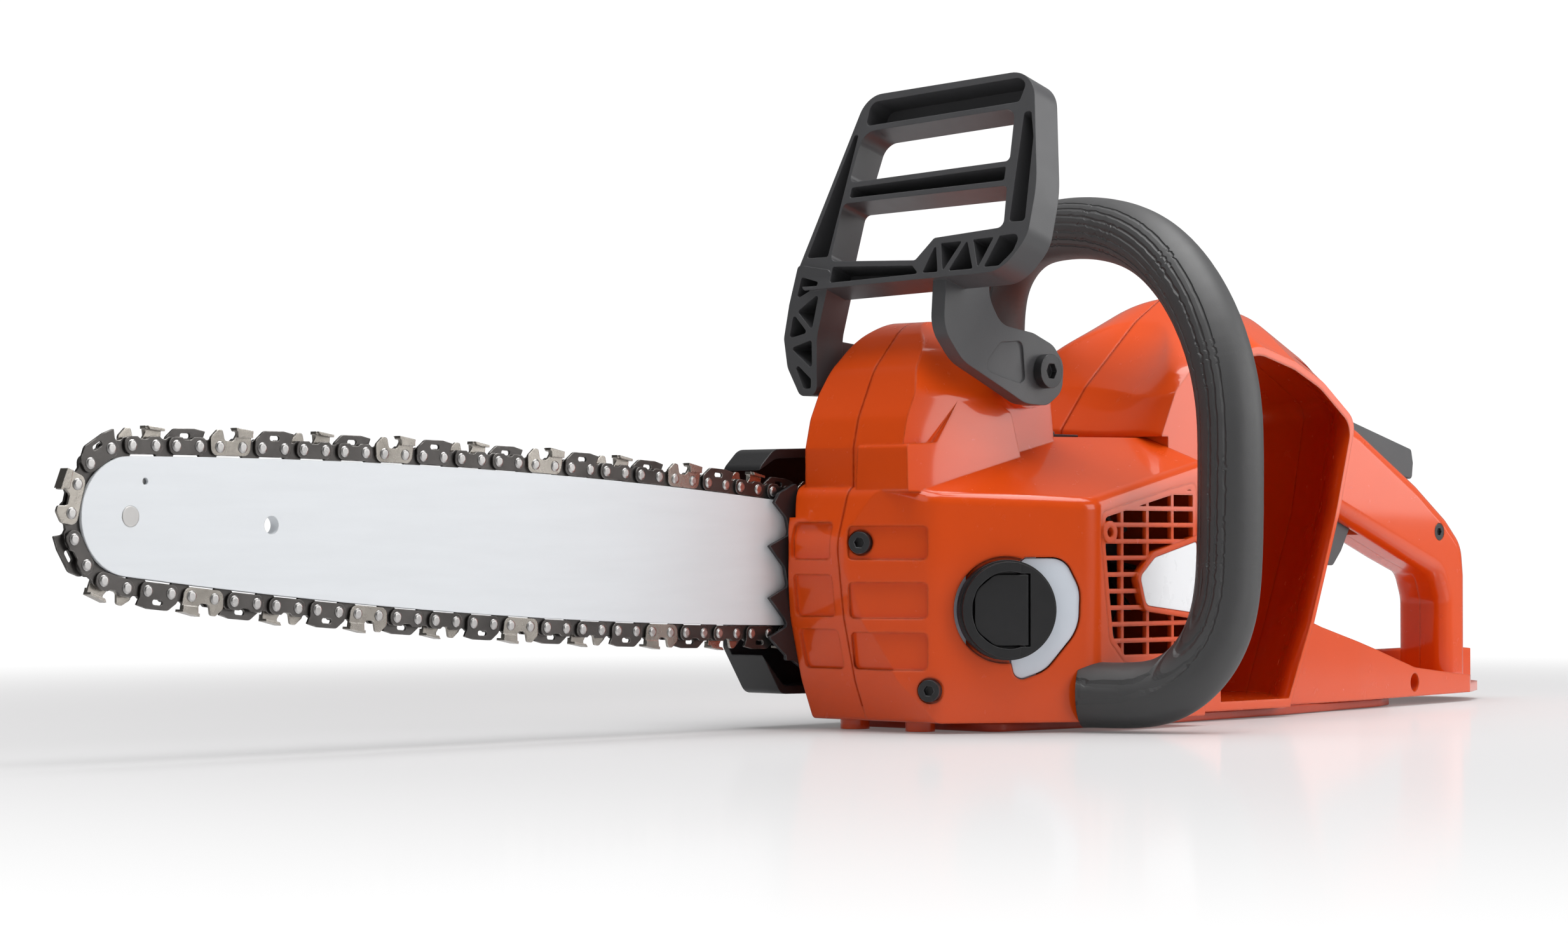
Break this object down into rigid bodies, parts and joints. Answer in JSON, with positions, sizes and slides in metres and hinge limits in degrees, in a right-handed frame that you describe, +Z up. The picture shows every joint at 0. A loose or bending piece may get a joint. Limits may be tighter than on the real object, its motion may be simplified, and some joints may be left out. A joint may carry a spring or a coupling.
{
  "type": "battery chainsaw",
  "caption": "Battery chainsaw: sprocket-nose guide bar and cutting chain, moulded powerhead with battery bay, front loop handle, hand guard and rear handle.",
  "frame": {"origin": "on the ground plane under the powerhead, in the underside of the base plate, 5 mm left of the casing seam", "axes": "+Z up; -X toward the bar's nose, +X toward the rear handle; -Y the operator's left side with the oil cap and the battery bay; +Y the bar and clutch cover side"},
  "size_m": [0.8204, 0.1969, 0.2635],
  "materials": {
    "orange_plastic": "glossy moulded nylon",
    "grey_plastic": "fine textured moulded nylon",
    "black_plastic": "satin moulded plastic",
    "grip_rubber": "ribbed over-moulded rubber",
    "bar_paint": "satin light grey paint",
    "chain_steel": "dark oiled steel",
    "cutter_chrome": "chrome plated",
    "bright_steel": "machined",
    "black_steel": "black oxide",
    "cast_aluminium": "cast",
    "tank_plastic": "translucent polyethylene",
    "copper": "enamelled copper wire",
    "magnet": "nickel plated",
    "label": "plain white label film",
    "board_green": "coated circuit board",
    "dark_orange_plastic": "moulded nylon"
  },
  "bodies": {
    "powerhead": {"bar_guide_plate": "bright_steel", "bar_nuts": "black_steel", "bar_studs": "bright_steel", "base_plate": "dark_orange_plastic", "battery_contacts": "black_plastic", "brake_band": "bright_steel", "brake_spring": "bright_steel", "casing_screws": "black_steel", "chain_bumper_straps": "chain_steel", "chain_catcher": "cast_aluminium", "chain_drive_links": "chain_steel", "chain_left_cutters": "cutter_chrome", "chain_right_cutters": "cutter_chrome", "chain_rivets": "bright_steel", "chain_tensioner": "bright_steel", "chain_tie_straps": "chain_steel", "clutch_cover": "black_plastic", "control_pins": "bright_steel", "controller_board": "board_green", "controller_heat_sink": "cast_aluminium", "front_handle_grip": "grip_rubber", "front_handle_tube": "cast_aluminium", "guide_bar": "bar_paint", "intake_grille": "orange_plastic", "keypad_panel": "black_plastic", "lockout_spring": "bright_steel", "motor_bearings": "bright_steel", "motor_frame": "cast_aluminium", "motor_housing_left": "orange_plastic", "motor_housing_right": "orange_plastic", "motor_stator": "bright_steel", "name_plate": "label", "nose_bearing": "bright_steel", "nose_rivet": "bright_steel", "oil_cap_gasket": "grip_rubber", "oil_pump": "black_plastic", "oil_tank": "tank_plastic", "rear_housing_left": "orange_plastic", "rear_housing_right": "orange_plastic", "spike_bumper": "black_steel", "spike_screws": "black_steel", "stator_coils": "copper", "trigger_spring": "bright_steel", "trigger_switch": "black_plastic"},
    "drive": {"motor_rotor": "bright_steel", "rotor_magnets": "magnet", "motor_shaft": "bright_steel", "cooling_fan": "black_plastic", "brake_drum": "bright_steel", "drive_sprocket": "bright_steel"},
    "nose_wheel": {"nose_sprocket": "bright_steel"},
    "guard": {"hand_guard": "grey_plastic", "guard_shaft": "bright_steel", "guard_pivot_bolts": "black_steel"},
    "cap": {"oil_cap": "black_plastic"},
    "cap_lever": {"oil_cap_lever": "black_plastic"},
    "trigger": {"trigger": "grey_plastic"},
    "lockout": {"lockout_lever": "grey_plastic"},
    "power_button": {"power_button": "grey_plastic"},
    "mode_button": {"mode_button": "grey_plastic"}
  },
  "joints": [
    {"name": "drive_spin", "type": "hinge", "parent": "powerhead", "child": "drive", "pos_m": [-0.09321, 0, 0.06233], "axis": [0, 1, 0], "continuous": true, "deforming": ["chain_bumper_straps", "chain_drive_links", "chain_left_cutters", "chain_right_cutters", "chain_rivets", "chain_tie_straps"]},
    {"name": "nose_spin", "type": "hinge", "parent": "powerhead", "child": "nose_wheel", "pos_m": [-0.52, 0.04, 0.08477], "axis": [0, 1, 0], "continuous": true},
    {"name": "guard_swing", "type": "hinge", "parent": "powerhead", "child": "guard", "pos_m": [-0.11, 0, 0.146], "axis": [0, 1, 0], "range_deg": [-16, 0], "deforming": ["brake_spring"]},
    {"name": "oil_cap_turn", "type": "hinge", "parent": "powerhead", "child": "cap", "pos_m": [-0.152, -0.0474, 0.049], "axis": [-0.5878, -0.809, 0], "range_deg": [0, 90]},
    {"name": "oil_cap_lever_flip", "type": "hinge", "parent": "cap", "child": "cap_lever", "pos_m": [-0.14929, -0.05456, 0.049], "axis": [0, 0, 1], "range_deg": [0, 90]},
    {"name": "trigger_pull", "type": "hinge", "parent": "powerhead", "child": "trigger", "pos_m": [0.142, 0.005, 0.103], "axis": [0, 1, 0], "range_deg": [-11, 0], "stiffness_Nm_per_rad": 0.3, "springref_deg": 6.88, "deforming": ["trigger_spring"]},
    {"name": "lockout_press", "type": "hinge", "parent": "powerhead", "child": "lockout", "pos_m": [0.149, 0.005, 0.127], "axis": [0, 1, 0], "range_deg": [0, 7], "stiffness_Nm_per_rad": 0.25, "springref_deg": -6.88, "deforming": ["lockout_spring"]},
    {"name": "power_button_press", "type": "slide", "parent": "powerhead", "child": "power_button", "axis": [0, 0, -1], "range_m": [0, 0.0006], "stiffness_N_per_m": 400, "springref_m": -0.0005},
    {"name": "mode_button_press", "type": "slide", "parent": "powerhead", "child": "mode_button", "axis": [0, 0, -1], "range_m": [0, 0.0006], "stiffness_N_per_m": 400, "springref_m": -0.0005}
  ],
  "couplings": [
    {"joint": "nose_spin", "follows": "drive_spin", "ratio": 0.75}
  ]
}
